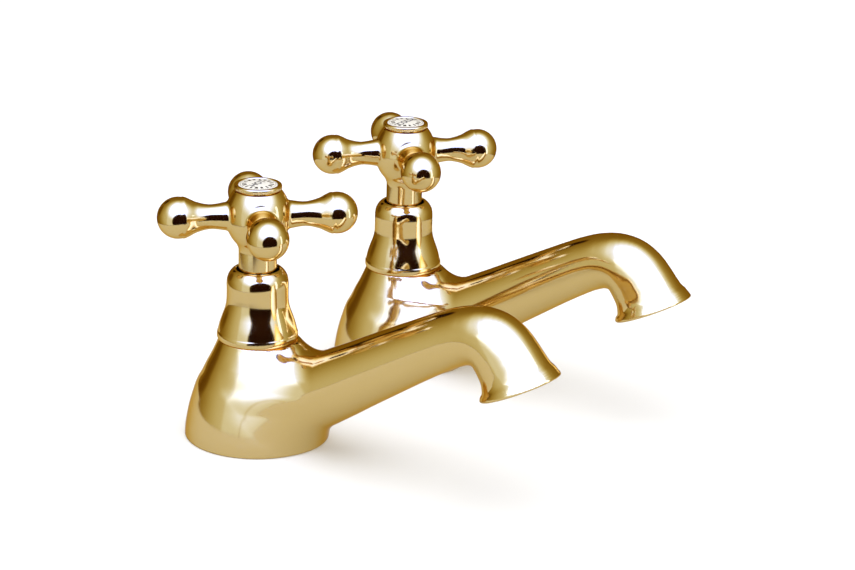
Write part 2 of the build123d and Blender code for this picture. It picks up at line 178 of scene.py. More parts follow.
def evened(points, quads, formula, rounds):
    """Slides the points towards the middle of their neighbours, and back onto the surface."""
    edges = np.concatenate([quads[:, [i, (i + 1) % 4]] for i in range(4)])
    for _ in range(rounds):
        total, count = np.zeros_like(points), np.zeros(len(points))
        for a, b in ((0, 1), (1, 0)):
            np.add.at(total, edges[:, a], points[edges[:, b]])
            np.add.at(count, edges[:, a], 1)
        points = pulled_on(formula, 0.5 * points + 0.5 * total / count[:, None], 1)
    return pulled_on(formula, points, 2)


def skinned(formula, corner_low, corner_high, cube):
    """Points and four-sided faces of the formula's surface inside a box."""
    lines = [np.arange(a - 2 * cube, b + 3 * cube, cube) for a, b in zip(corner_low, corner_high)]
    x, y, z = np.ix_(*lines)
    solid = formula(x, y, z) < 0
    nx, ny, nz = (n - 1 for n in solid.shape)
    corners = [solid[i:i + nx, j:j + ny, k:k + nz] for i in (0, 1) for j in (0, 1) for k in (0, 1)]
    mixed = np.any(corners, axis=0) & ~np.all(corners, axis=0)
    number = np.full(mixed.shape, -1)
    number[mixed] = np.arange(mixed.sum())
    points = np.stack([lines[a][index] + cube / 2 for a, index in enumerate(np.nonzero(mixed))], axis=1)
    quads = []
    for axis in range(3):
        u, v = (axis + 1) % 3, (axis + 2) % 3
        here = [slice(1, -1)] * 3
        there = [slice(1, -1)] * 3
        there[axis] = slice(2, None)
        a, b = solid[tuple(here)], solid[tuple(there)]
        for leaving in (True, False):
            crossing = np.array(np.nonzero((a & ~b) if leaving else (~a & b))) + 1
            ring = []
            for du, dv in ((1, 1), (0, 1), (0, 0), (1, 0)):
                cell = crossing.copy()
                cell[u] -= du
                cell[v] -= dv
                ring.append(number[tuple(cell)])
            ring = np.array(ring).T
            quads.append(ring if leaving else ring[:, ::-1])
    quads = np.concatenate(quads)
    points = evened(pulled_on(formula, points, 2), quads, formula, 2)
    return points, quads


# %% Putting a mesh at both taps
SHADING_STEP = 0.45


def as_mesh(name, points, faces, crease=None, formula=None):
    """A smooth-shaded mesh from points in millimetres.

    crease is the angle, in degrees, that stays sharp. A formula shades each point by its own slope instead.
    """
    mesh = bpy.data.meshes.new(name)
    mesh.from_pydata((np.asarray(points) * MM).tolist(), [], [tuple(int(i) for i in face) for face in faces])
    mesh.validate()
    mesh.shade_smooth()
    if crease:
        mesh.set_sharp_from_angle(angle=math.radians(crease))
    if formula:
        ways = np.eye(3) * SHADING_STEP
        rises = [formula(*(points + way).T) - formula(*(points - way).T) for way in ways]
        slope = np.stack(rises, axis=1)
        slope /= np.maximum(np.linalg.norm(slope, axis=1), 1e-9)[:, None]
        mesh.normals_split_custom_set_from_vertices(slope.tolist())
    return mesh


def stand(name, mesh, body, node, turn=None):
    """Stands one mesh at both taps in place of the model's piece; body names what it moves with."""
    made = []
    for tap in TAPS:
        if turn:
            turned_mesh = mesh.copy()
            turned_mesh.transform(Matrix.Rotation(turn[tap], 4, "Z"))
        piece = bpy.data.objects.new(f"{tap}_{name}", turned_mesh if turn else mesh)
        bpy.context.scene.collection.objects.link(piece)
        piece.location = Vector(axis_of(tap) * MM)
        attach(piece, "root" if body == "root" else f"{tap}_{body}")
        if node:
            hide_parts(f"{tap}_{node}")
        made.append(piece)
    print(name, len(mesh.vertices), "points,", len(mesh.polygons), "faces")
    return made


# %% [markdown]
# ## The body and its spout
#
# The bell is a turned shape: full and round low down, nearly a straight cone at the top, with its foot 54 mm
# across. The spout is a round pipe that rises at 30 degrees, thins slightly, turns over a short bend and
# opens like a trumpet, its rim leaning out over the bowl. Both follow smooth curves through a few
# stations. The fillet between them is tight underneath and generous on top, as the caster's pattern had it.

# %% Curves through stations
def smooth_curve(stations, steps):
    """Points on a smooth curve through the stations, evenly spread; a row may hold more than a place."""
    stations = np.asarray(stations, dtype=float)
    gaps = np.linalg.norm(np.diff(stations[:, :2], axis=0), axis=1)
    along = np.concatenate([[0], np.cumsum(gaps)])
    slopes = np.gradient(stations, along, axis=0)
    where = np.linspace(0, along[-1], steps)
    span = np.clip(np.searchsorted(along, where, side="right") - 1, 0, len(gaps) - 1)
    width = gaps[span][:, None]
    t = ((where - along[span]) / gaps[span])[:, None]
    a, b = stations[span], stations[span + 1]
    from_slope, to_slope = slopes[span] * width, slopes[span + 1] * width
    return ((2 * t ** 3 - 3 * t ** 2 + 1) * a + (t ** 3 - 2 * t ** 2 + t) * from_slope
            + (-2 * t ** 3 + 3 * t ** 2) * b + (t ** 3 - t ** 2) * to_slope)


# %% The bell's side and the spout's line
TOP_RADIUS = 14.3
BELL_SIDE = [(0.0, 1.0), (0.09, 0.985), (0.18, 0.945), (0.30, 0.875), (0.42, 0.775), (0.547, 0.646),
             (0.64, 0.5), (0.732, 0.37), (0.82, 0.235), (0.913, 0.107), (1.0, 0.0), (1.1, -0.1)]
bell_stations = [(up * body_top, TOP_RADIUS + left * (foot_radius - TOP_RADIUS)) for up, left in BELL_SIDE]
bell_side = smooth_curve(bell_stations, 400)
bell_lean = np.gradient(bell_side[:, 1], bell_side[:, 0])

LEAN = math.radians(25)
RIM_RADIUS, RIM_HEIGHT, RIM_ROUND = 15.6, 42.3, 1.1
TAKEN_BY_ROUNDING = 0.45
LIP_HEIGHT, LIP_FLARE = 2.6, 1.35
outlet = np.array((outlet_edge + TAKEN_BY_ROUNDING - RIM_RADIUS * math.cos(LEAN), RIM_HEIGHT))
outlet_way = np.array((math.sin(LEAN), -math.cos(LEAN)))
lip_top = outlet - LIP_HEIGHT * outlet_way
SPOUT_STATIONS = [(12.0, 13.2, 14.6), (27.0, 22.2, 13.7), (37.0, 28.1, 13.1), (45.1, 32.9, 12.5),
                  (53.2, 37.7, 12.0), (61.5, 42.6, 11.5), (69.2, 47.1, 11.05), (77.0, 51.5, 10.7),
                  (84.4, 55.3, 10.5), (91.0, 57.6, 10.65), (96.2, 58.0, 11.1), (100.6, 56.9, 11.6),
                  (104.1, 54.5, 12.0), (107.0, 51.2, 12.3), (109.2, 48.0, 12.75), (110.35, 46.0, 13.4)]
lip_stations = [(*lip_top, RIM_RADIUS - LIP_FLARE), (*outlet, RIM_RADIUS)]
spout_line = smooth_curve(SPOUT_STATIONS + lip_stations, 260)
highest = float((spout_line[:, 1] + spout_line[:, 2]).max())
print("spout line", len(spout_line), "points, highest", round(highest, 1), "mm")

# %% The casting as one formula
def along_spout(x, z):
    """The nearest place on the spout's line: how far off in the upright plane, radius there, share along."""
    shape = np.broadcast(x, z).shape
    px, pz = np.broadcast_to(x, shape).ravel(), np.broadcast_to(z, shape).ravel()
    away, radius, share = (np.empty(len(px)) for _ in range(3))
    start, run = spout_line[:-1], np.diff(spout_line, axis=0)
    length2 = (run[:, :2] ** 2).sum(axis=1)
    for part in np.array_split(np.arange(len(px)), max(1, len(px) // 4000)):
        dx, dz = px[part, None] - start[:, 0], pz[part, None] - start[:, 1]
        t = np.clip((dx * run[:, 0] + dz * run[:, 1]) / length2, 0, 1)
        gap = (dx - t * run[:, 0]) ** 2 + (dz - t * run[:, 1]) ** 2
        best = gap.argmin(axis=1)
        row = np.arange(len(part))
        away[part] = np.sqrt(gap[row, best])
        radius[part] = start[best, 2] + t[row, best] * run[best, 2]
        share[part] = (best + t[row, best]) / len(run)
    return away.reshape(shape), radius.reshape(shape), share.reshape(shape)


FOOT_ROUND = 0.6
PIPE_BORE, MOUTH_FLARE = 7.6, 4.9
MOUTH_STARTS, PIPE_STARTS = 0.86, 0.72
FILLET_HEIGHTS, FILLETS = (6, 16, 30), (8.0, 9.0, 15.0)
SEAT_HEIGHT, SEAT_BORE_RADIUS, SEAT_BORE_DEPTH = 16.5, 5.5, 7.0
VALVE_ROOM_RADIUS = 10.4


def tap_casting(x, y, z):
    """Bell and spout in one, with the foot's edge, the rim, the outlet's inside and room for the valve."""
    out = np.sqrt(x ** 2 + y ** 2)
    side = np.interp(z, bell_side[:, 0], bell_side[:, 1])
    lean = np.interp(z, bell_side[:, 0], bell_lean)
    bell = common((out - side) / np.sqrt(1 + lean ** 2), -z, FOOT_ROUND)
    away, radius, share = along_spout(x, z)
    reach = np.sqrt(away ** 2 + y ** 2)
    past_rim = (x - outlet[0]) * outlet_way[0] + (z - outlet[1]) * outlet_way[1]
    spout = common(reach - radius, past_rim, RIM_ROUND)
    waterway = PIPE_BORE + MOUTH_FLARE * np.clip((share - MOUTH_STARTS) / (1 - MOUTH_STARTS), 0, 1) ** 1.6
    spout = common(spout, np.minimum(waterway - reach, 40 * (share - PIPE_STARTS)), 1.0)
    whole = joined(bell, spout, np.interp(z, FILLET_HEIGHTS, FILLETS))
    above_bell = np.minimum(z - body_top, TOP_RADIUS + 2.5 - out)
    valve_room = np.minimum(np.maximum(out - VALVE_ROOM_RADIUS, SEAT_HEIGHT - z),
                            np.maximum(out - SEAT_BORE_RADIUS, SEAT_HEIGHT - SEAT_BORE_DEPTH - z))
    return np.maximum(np.maximum(whole, -valve_room), np.maximum(above_bell, -z))


casting_cube = 0.6
casting_points, casting_faces = skinned(tap_casting, (-foot_radius, -foot_radius, 0),
                                        (outlet_edge, foot_radius, spout_top), casting_cube)
casting_mesh = as_mesh("tap_casting", casting_points, casting_faces, formula=tap_casting)
print("casting", casting_points.min(axis=0).round(1), casting_points.max(axis=0).round(1))

# %% Stand the castings at both taps
bodies = stand("body_casting", casting_mesh, "root", "tap_body")

# %% [markdown]
# ## Turned pieces
#
# The bonnet, the cap, the tail and the nut were made on a lathe, so each is an outline spun about the axis.
# Blender's Screw modifier can spin an outline too, but here the rings are laid down in code: each ring's
# radius may then be changed by a rule, and that rule cuts the thread, the knurling and the hexagon.

# %% Spin an outline
def turned(name, outline, around, crease=35, rule=None, closed=False):
    """A skin spun from (radius, height) pairs; rule(radius, height, angle) may change each point's radius."""
    outline = np.asarray(outline, dtype=float)
    angle = np.linspace(0, 2 * math.pi, around, endpoint=False)
    radius = np.repeat(outline[:, :1], around, axis=1)
    height = np.repeat(outline[:, 1:2], around, axis=1)
    if rule:
        radius = rule(radius, height, angle[None, :])
    points = np.stack([radius * np.cos(angle), radius * np.sin(angle), height], axis=2).reshape(-1, 3)
    rows = len(outline)
    ring, step = np.meshgrid(np.arange(rows if closed else rows - 1), np.arange(around), indexing="ij")
    here, onward = ring.ravel() * around, ((ring.ravel() + 1) % rows) * around
    this, following = step.ravel(), (step.ravel() + 1) % around
    faces = np.stack([here + this, here + following, onward + following, onward + this], axis=1).tolist()
    if not closed:
        faces += [list(range(around))[::-1], list(range((rows - 1) * around, rows * around))]
    return as_mesh(name, points, faces, crease)


# %% [markdown]
# ## The bonnet
#
# A thin bell spun over the valve: a rounded bead at its foot, a skirt that sweeps in to a straight barrel,
# and a soft shoulder round the hole for the handle's neck. The outline runs up the outside, over the lip
# and down the inside, so the gap round the neck is a real, dark gap.

# %% Bonnet outline
BONNET_DRAWN_HEIGHT = 27.0
bead = [(14.3, 0.0), (14.75, 0.3), (15.0, 1.0), (15.0, 2.0), (14.9, 2.6), (14.72, 3.0)]
skirt = [(14.7, 3.05), (14.45, 4.2), (14.1, 5.6), (13.6, 7.2), (13.0, 8.9), (12.35, 10.7), (11.85, 12.4),
         (11.55, 14.2), (11.45, 16.2), (11.42, 19.0), (11.4, 22.0), (11.15, 23.6), (10.6, 24.9),
         (9.7, 26.1), (8.75, 26.85), (8.3, 27.0)]
lip_and_inside = [(7.95, 26.75), (7.85, 26.2), (7.85, 25.4), (9.9, 23.0), (10.05, 14.0), (10.25, 13.0),
                  (10.25, 7.5), (13.1, 5.5), (13.1, 0.0)]
drawn = [*smooth_curve(bead, 22), *smooth_curve(skirt, 60), *lip_and_inside]
bonnet_outline = [(r, body_top + up * (bonnet_top - body_top) / BONNET_DRAWN_HEIGHT) for r, up in drawn]
stand("bonnet_bell", turned("bonnet_bell", bonnet_outline, 128, crease=28, closed=True), "root", "bonnet")

# %% [markdown]
# ## The cross handle
#
# One casting again: an egg-shaped boss on a plain neck, and four arms that narrow to a waist and swell into
# balls. Folding the plan view four ways lets one arm's formula stand for all four. The boss is cut flat on
# top for the index cap and bored for its screw.

# %% The handle as one formula
ARM_REACH, BALL_RADIUS = 29.2, 7.7
BOSS_RADIUS, BOSS_HALF_HEIGHT = 12.0, 13.9
NECK_RADIUS = 7.05
SOCKET_RADIUS, SOCKET_TOP_BELOW_ARMS = 5.6, 9.2
CAP_HOLE_RADIUS, CAP_HOLE_DEPTH = 4.25, 9.5
arm_height = boss_top - 9.8
arm_side = smooth_curve([(4.0, 6.4), (8.0, 5.8), (12.0, 5.2), (15.0, 4.7), (17.5, 4.52), (19.5, 4.78),
                         (21.4, 5.25), (23.3, 5.87), (25.1, 6.57), (27.0, 7.35)], 200)
ARM_END = 27.0
arm_lean = np.gradient(arm_side[:, 1], arm_side[:, 0])


def cross_handle(x, y, z):
    """Boss, neck, four arms and their balls."""
    out = np.sqrt(x ** 2 + y ** 2)
    up = z - arm_height
    near = np.sqrt((out / BOSS_RADIUS) ** 2 + (up / BOSS_HALF_HEIGHT) ** 2) + 1e-9
    steepness = np.sqrt((out / BOSS_RADIUS ** 2) ** 2 + (up / BOSS_HALF_HEIGHT ** 2) ** 2 + 1e-12)
    boss = near * (near - 1) / steepness
    neck = common(out - NECK_RADIUS, np.maximum(neck_bottom - z, z - arm_height), 0.5)
    along, aside = np.maximum(abs(x), abs(y)), np.minimum(abs(x), abs(y))
    from_arm = np.sqrt(aside ** 2 + up ** 2)
    lean = np.interp(along, arm_side[:, 0], arm_lean)
    arm = (from_arm - np.interp(along, arm_side[:, 0], arm_side[:, 1])) / np.sqrt(1 + lean ** 2)
    arm = np.maximum(arm, along - ARM_END)
    ball = np.sqrt((along - ARM_REACH) ** 2 + from_arm ** 2) - BALL_RADIUS
    cross = joined(np.minimum(boss, 30), joined(arm, ball, 0.9), 0.7)
    whole = common(joined(cross, neck, 1.5), z - boss_top, 0.3)
    socket = np.maximum(out - SOCKET_RADIUS, z - (arm_height - SOCKET_TOP_BELOW_ARMS))
    cap_hole = np.maximum(out - CAP_HOLE_RADIUS, boss_top - CAP_HOLE_DEPTH - z)
    return common(whole, -np.minimum(socket, cap_hole), 0.2)


reach = ARM_REACH + BALL_RADIUS
handle_points, handle_faces = skinned(cross_handle, (-reach, -reach, neck_bottom), (reach, reach, boss_top),
                                      0.55)
yaw = {}
for tap in TAPS:
    half_width = (high(f"{tap}_handle")[0] - low(f"{tap}_handle")[0]) / 2
    yaw[tap] = math.acos(min(1.0, (half_width - BALL_RADIUS) / ARM_REACH))
print("arms turned by", {tap: round(math.degrees(turn), 1) for tap, turn in yaw.items()}, "degrees")
handle_mesh = as_mesh("handle_casting", handle_points, handle_faces, formula=cross_handle)
stand("handle_casting", handle_mesh, "handle", "handle", turn=yaw)

# %% [markdown]
# ## The index
#
# A knurled cap screws into the boss and holds a white glazed disc, a little domed, with the tap's word and
# a printed ring. A narrow step under the cap leaves the dark line between it and the boss.

# %% Knurled cap
stub_bottom = low("hot_index_cap")[2]
cap_radius = (high("hot_index_cap")[0] - low("hot_index_cap")[0]) / 2
disc_floor = low("hot_index_disc")[2]
disc_radius = (high("hot_index_disc")[0] - low("hot_index_disc")[0]) / 2
KNURL_GROOVES, KNURL_DEPTH, CAP_ROUND = 64, 0.16, 0.65


def knurl(radius, height, angle):
    """Fine upright grooves round the cap's lower edge."""
    fades = np.clip((cap_top - 0.75 - height) / 0.3, 0, 1) * np.clip((height - boss_top - 0.45) / 0.1, 0, 1)
    grooves = 0.5 - 0.5 * np.cos(KNURL_GROOVES * angle)
    return radius - KNURL_DEPTH * fades * (radius > cap_radius - 0.35) * grooves


rim_round = [(cap_radius + CAP_ROUND * (math.sin(t) - 1), cap_top + CAP_ROUND * (math.cos(t) - 1))
             for t in np.linspace(math.pi / 2, 0, 8)]
cap_outline = [(0.4, stub_bottom), (4.2, stub_bottom), (4.2, boss_top), (7.6, boss_top), (7.6, boss_top + 0.5),
               (cap_radius - 0.25, boss_top + 0.5), (cap_radius, boss_top + 0.7), (cap_radius, boss_top + 1.0),
               (cap_radius, boss_top + 1.3), *rim_round, (disc_radius + 0.35, cap_top - 0.05),
               (disc_radius + 0.1, cap_top - 0.3), (disc_radius + 0.05, disc_floor), (0.4, disc_floor)]
cap_mesh = turned("knurled_cap", cap_outline, 6 * KNURL_GROOVES, rule=knurl)
stand("knurled_cap", cap_mesh, "handle", "index_cap")

# %% Glazed disc and its word
glaze_top = disc_top - 0.06
disc_edge = cap_top - 0.2


def glaze_height(radius):
    """The disc's domed face."""
    return disc_edge + (glaze_top - disc_edge) * (1 - (radius / disc_radius) ** 2)


disc_outline = [(disc_radius - 0.05, disc_floor), (disc_radius, disc_floor + 0.1),
                (disc_radius, disc_edge - 0.12)]
disc_outline += [(r, glaze_height(r)) for r in np.linspace(disc_radius - 0.15, 0.2, 24)]
stand("glazed_disc", turned("glazed_disc", disc_outline, 128), "handle", "index_disc")
WORDS = {"hot": "HOT", "cold": "COLD"}
WORD_SIZE, STROKE_WIDENING, INK_LIFT = 0.0037, 0.00009, 0.02
letters = []
for tap in TAPS:
    curve = bpy.data.curves.new(f"{tap}_word", "FONT")
    curve.body, curve.size, curve.offset = WORDS[tap], WORD_SIZE, STROKE_WIDENING
    curve.align_x = curve.align_y = "CENTER"
    source = bpy.data.objects.new(f"{tap}_word_curve", curve)
    bpy.context.scene.collection.objects.link(source)
    mesh = bpy.data.meshes.new_from_object(source.evaluated_get(bpy.context.evaluated_depsgraph_get()))
    bpy.data.objects.remove(source)
    for vertex in mesh.vertices:
        x, y = -vertex.co.y, vertex.co.x
        vertex.co = (x, y, (glaze_height(math.hypot(x, y) / MM) + INK_LIFT) * MM)
    word = bpy.data.objects.new(f"{tap}_index_word", mesh)
    bpy.context.scene.collection.objects.link(word)
    word.location = Vector(axis_of(tap) * MM)
    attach(word, f"{tap}_handle")
    letters.append(word)
print("words", [round(word.dimensions.x / MM, 1) for word in letters], "by",
      [round(word.dimensions.y / MM, 1) for word in letters], "mm")

# %% [markdown]
# ## Under the deck
#
# The tail carries a half-inch pipe thread: fourteen threads to the inch, 1.16 mm deep, running round the
# tail as a helix. On a spun skin that is one rule: the radius dips and rises with the height plus the
# share of a turn. A relief groove parts the backnut's thread from the stretch that the supply screws onto.

# %% Threaded tail
tail_bottom, tail_top = low("hot_tail")[2], high("hot_tail")[2]
crest = (high("hot_tail")[0] - low("hot_tail")[0]) / 2
PITCH, THREAD_DEPTH = 25.4 / 14, 1.16
groove_low, groove_high = tail_bottom + 16, tail_bottom + 18


def pipe_thread(radius, height, angle):
    """A rounded V thread between the tail's end, its groove and the foot."""
    turn = height / PITCH - angle / (2 * math.pi)
    dip = np.clip(1.25 * abs(2 * (turn - np.floor(turn)) - 1) - 0.12, 0, 1)
    ends = [np.clip((height - tail_bottom) / 1.2, 0, 1), np.clip(abs(height - groove_high) / 0.9, 0, 1),
            np.clip(abs(height - groove_low) / 0.9, 0, 1)]
    cut = radius - THREAD_DEPTH * dip
    chamfer = crest - 1.3 + 1.3 * np.minimum(np.minimum(ends[0], ends[1]), ends[2])
    threaded = np.minimum(cut, chamfer)
    in_groove = (height > groove_low - 0.01) & (height < groove_high + 0.01)
    outside = radius > crest - 0.01
    return np.where(outside, np.where(in_groove, crest - 1.35, threaded), radius)


outside = [(crest, height) for height in np.arange(tail_bottom, tail_top, 0.2)]
inside = [(5.75, tail_top), (5.75, tail_bottom + 10.8), (6.75, tail_bottom + 10), (6.75, tail_bottom + 0.5),
          (7.2, tail_bottom)]
tail_mesh = turned("threaded_tail", outside + inside, 72, rule=pipe_thread, closed=True)
stand("threaded_tail", tail_mesh, "root", "tail")

# %% Backnut
nut_bottom, nut_top = low("hot_backnut")[2], high("hot_backnut")[2]
flange_radius = (high("hot_backnut")[0] - low("hot_backnut")[0]) / 2


def hexagon_nut(radius, height, angle):
    """Six flats 30 mm across below the flange, chamfered at their lower corners."""
    flat = 15.0 / np.cos(np.mod(angle, math.pi / 3) - math.pi / 6)
    corner = 15.4 + 1.8 * (height - nut_bottom)
    below = (height < nut_top - 1.75) & (radius > 12.5)
    return np.where(below, np.minimum(np.minimum(flat, corner), radius), radius)


nut_outline = [(10.7, nut_top), (flange_radius - 0.4, nut_top), (flange_radius, nut_top - 0.3),
               (flange_radius, nut_top - 1.4), (flange_radius - 0.3, nut_top - 1.7), (17.4, nut_top - 1.74),
               (17.35, nut_top - 1.8)]
nut_outline += [(17.35, height) for height in np.linspace(nut_top - 2.2, nut_bottom, 14)]
nut_outline += [(11.2, nut_bottom), (10.6, nut_bottom + 0.6)]
stand("backnut_hexagon", turned("backnut_hexagon", nut_outline, 120, crease=25, rule=hexagon_nut, closed=True),
      "root", "backnut")

# %% [markdown]
# ## Finishes
#
# Shader maths reads best as sums. A small class wraps a socket, so that `rough + 0.04 * smudge` adds the
# Math nodes that do it. Colours and vectors go through Mix and Vector Math nodes, and one method makes
# every other node. Patterns are measured in millimetres of the piece itself, so they keep their real
# scale and stay on the piece when it moves.

# %% Sockets that can be added up
class Signal:
    """A shader socket that can be used in arithmetic; each operation adds one Math node."""

    def __init__(self, finish, socket):
        self.finish, self.socket = finish, socket

    def sum_with(self, operation, a, b):
        return self.finish.node("ShaderNodeMath", {"operation": operation}, {0: a, 1: b})

    def __add__(self, other):
        return self.sum_with("ADD", self, other)

    __radd__ = __add__

    def __mul__(self, other):
        return self.sum_with("MULTIPLY", self, other)

    __rmul__ = __mul__

    def __sub__(self, other):
        return self.sum_with("SUBTRACT", self, other)

    def __rsub__(self, other):
        return self.sum_with("SUBTRACT", other, self)

    def __gt__(self, other):
        return self.sum_with("GREATER_THAN", self, other)

    def __lt__(self, other):
        return self.sum_with("LESS_THAN", self, other)


class Finish:
    """One material, or the world: its nodes are made with node(), mix() and the sums above."""

    def __init__(self, owner):
        self.owner = owner
        owner.use_nodes = True
        self.tree = owner.node_tree
        self.tree.nodes.clear()

    def node(self, kind, settings=None, values=None, output=0):
        """Any node: its settings first, then each socket's value or link; returns one of its outputs."""
        made = self.tree.nodes.new(kind)
        for name, value in (settings or {}).items():
            setattr(made, name, value)
        for name, value in (values or {}).items():
            if isinstance(value, Signal):
                self.tree.links.new(value.socket, made.inputs[name])
            else:
                made.inputs[name].default_value = value
        return Signal(self, made.outputs[output]) if made.outputs else None

    def mix(self, share, a, b):
        """Colour a where share is 0 and b where it is 1."""
        first, second = (c if isinstance(c, Signal) else (*c, 1) for c in (a, b))
        return self.node("ShaderNodeMix", {"data_type": "RGBA"}, {0: share, 6: first, 7: second}, output=2)

    def place(self, stretch=(1, 1, 1)):
        """Position on the piece in millimetres, stretched along each axis."""
        spot = self.node("ShaderNodeTexCoord", output=3)
        scale = tuple(s / MM for s in stretch)
        return self.node("ShaderNodeVectorMath", {"operation": "MULTIPLY"}, {0: spot, 1: scale})

    def noise(self, size, detail=2.0, stretch=(1, 1, 1)):
        """Soft random patches of that size in millimetres, from 0 to 1."""
        return self.node("ShaderNodeTexNoise", {"noise_dimensions": "3D"},
                         {"Vector": self.place(stretch), "Scale": 1 / size, "Detail": detail})

    def bump(self, height, depth, strength=1.0):
        """Height from 0 to 1 as a bump of that depth in millimetres."""
        return self.node("ShaderNodeBump", None,
                         {"Height": height, "Strength": strength, "Distance": depth * MM})

    def surface(self, **sockets):
        """The Principled shader, wired to the output; underscores stand for spaces."""
        values = {name.replace("_", " "): value for name, value in sockets.items()}
        shader = self.node("ShaderNodeBsdfPrincipled", None, values)
        self.node("ShaderNodeOutputMaterial", None, {"Surface": shader})
        return self.owner


def finish(name):
    return Finish(bpy.data.materials.new(name))


# %% [markdown]
# ## Polished gold
#
# The taps are brass, polished and gold-plated. A mirror shows its surroundings more than itself, so the
# finish needs little: a warm colour, deeper at grazing angles, a low roughness that drifts a little where
# the polishing wheel pressed unevenly, and a grain too fine to see except as a faint sparkle on broad faces.

# %% Polished gold
gold = finish("polished_gold")
wheel = gold.noise(14, 2)
grain = gold.noise(0.35, 3)
tint = gold.mix(gold.noise(22, 2), (0.92, 0.70, 0.31), (0.86, 0.645, 0.27))
polished_gold = gold.surface(
    Base_Color=gold.mix(0.5 * grain, tint, (0.80, 0.56, 0.20)), Metallic=1.0,
    Roughness=0.06 + 0.05 * wheel + 0.04 * grain, Specular_Tint=(0.80, 0.55, 0.24, 1),
    Normal=gold.bump(grain, 0.004, 0.5))

# %% [markdown]
# ## The other finishes
#
# What the deck hides is plain brass straight from the lathe, with fine rings across it and a little
# tarnish. The disc is glazed white with a printed ring of short marks. Rubber, nylon, red fibre and greased
# packing each get their own grain.

# %% Lathe-turned brass
lathe = finish("turned_brass")
rings = lathe.noise(0.25, 2, stretch=(0.05, 0.05, 1))
tarnish = lathe.noise(7, 4)
turned_brass = lathe.surface(
    Base_Color=lathe.mix(tarnish, (0.74, 0.55, 0.27), (0.56, 0.39, 0.17)), Metallic=1.0,
    Roughness=0.20 + 0.12 * rings + 0.14 * tarnish, Normal=lathe.bump(rings, 0.02, 0.5))

# %% Glazed ceramic with its printed ring
glaze = finish("glazed_ceramic")
parts = glaze.node("ShaderNodeSeparateXYZ", None, {0: glaze.place()}).socket.node.outputs
x, y = Signal(glaze, parts[0]), Signal(glaze, parts[1])
out = glaze.node("ShaderNodeMath", {"operation": "POWER"}, {0: x * x + y * y, 1: 0.5})
round_it = glaze.node("ShaderNodeMath", {"operation": "ARCTAN2"}, {0: y, 1: x})
beat = glaze.node("ShaderNodeMath", {"operation": "SINE"}, {0: 16 * round_it})
long_beat = glaze.node("ShaderNodeMath", {"operation": "SINE"}, {0: 5 * round_it + 0.6})
marks = (out > 4.3) * (out < 5.9) * (beat + 0.45 * long_beat > 0.1)
line = (out > 6.45) * (out < 6.6)
printed = marks + line
glazed_ceramic = glaze.surface(
    Base_Color=glaze.mix(printed, glaze.mix(glaze.noise(3, 2), (0.93, 0.92, 0.89), (0.89, 0.88, 0.85)), (0.05, 0.05, 0.07)),
    Roughness=0.10 + 0.05 * glaze.noise(1.2, 2), Coat_Weight=0.6, Coat_Roughness=0.03,
    Normal=glaze.bump(glaze.noise(2.5, 2), 0.01, 0.4))

# %% Printed ink, rubber, nylon, fibre and packing
def grained(name, light, dark, size, rough, spread, depth, stretch=(1, 1, 1)):
    """A matt finish whose colour, roughness and relief all follow one grain."""
    made = finish(name)
    texture = made.noise(size, 4, stretch)
    return made.surface(Base_Color=made.mix(texture, light, dark), Roughness=rough + spread * texture,
                        Normal=made.bump(texture, depth, 0.6))


ink = grained("printed_ink", (0.05, 0.05, 0.07), (0.02, 0.02, 0.03), 0.4, 0.3, 0.15, 0.004)
rubber = grained("black_rubber", (0.035, 0.034, 0.033), (0.015, 0.015, 0.015), 0.6, 0.62, 0.2, 0.03)
nylon = grained("cream_nylon", (0.78, 0.76, 0.70), (0.70, 0.67, 0.60), 1.5, 0.42, 0.12, 0.02)
fibre = grained("red_fibre", (0.40, 0.09, 0.05), (0.26, 0.05, 0.03), 0.5, 0.6, 0.2, 0.03, (1, 0.2, 1))
packing = grained("greased_packing", (0.10, 0.10, 0.09), (0.03, 0.03, 0.03), 0.7, 0.4, 0.25, 0.08, (1, 1, 0.4))
WEARS = {"polished_brass": polished_gold, "plain_brass": turned_brass, "ceramic": glazed_ceramic,
         "rubber": rubber, "nylon": nylon, "fibre": fibre, "packing": packing}

# %% Every piece puts on its finish
def dress(piece, material):
    piece.data.materials.clear()
    piece.data.materials.append(material)


slots = {entry["node"]: entry["material_slot"] for entry in frame["record"]["subparts"]}
for name, piece in frame["nodes"].items():
    for index in range(len(piece.material_slots)):
        piece.material_slots[index].material = WEARS[slots[name]]
for piece in bpy.context.scene.objects:
    if piece.type == "MESH" and piece.name not in frame["nodes"] and piece.name.split("_", 1)[0] in TAPS:
        made_of = {"glazed_disc": glazed_ceramic, "index_word": ink, "threaded_tail": turned_brass,
                   "backnut_hexagon": turned_brass}.get(piece.name.split("_", 1)[1], polished_gold)
        dress(piece, made_of)
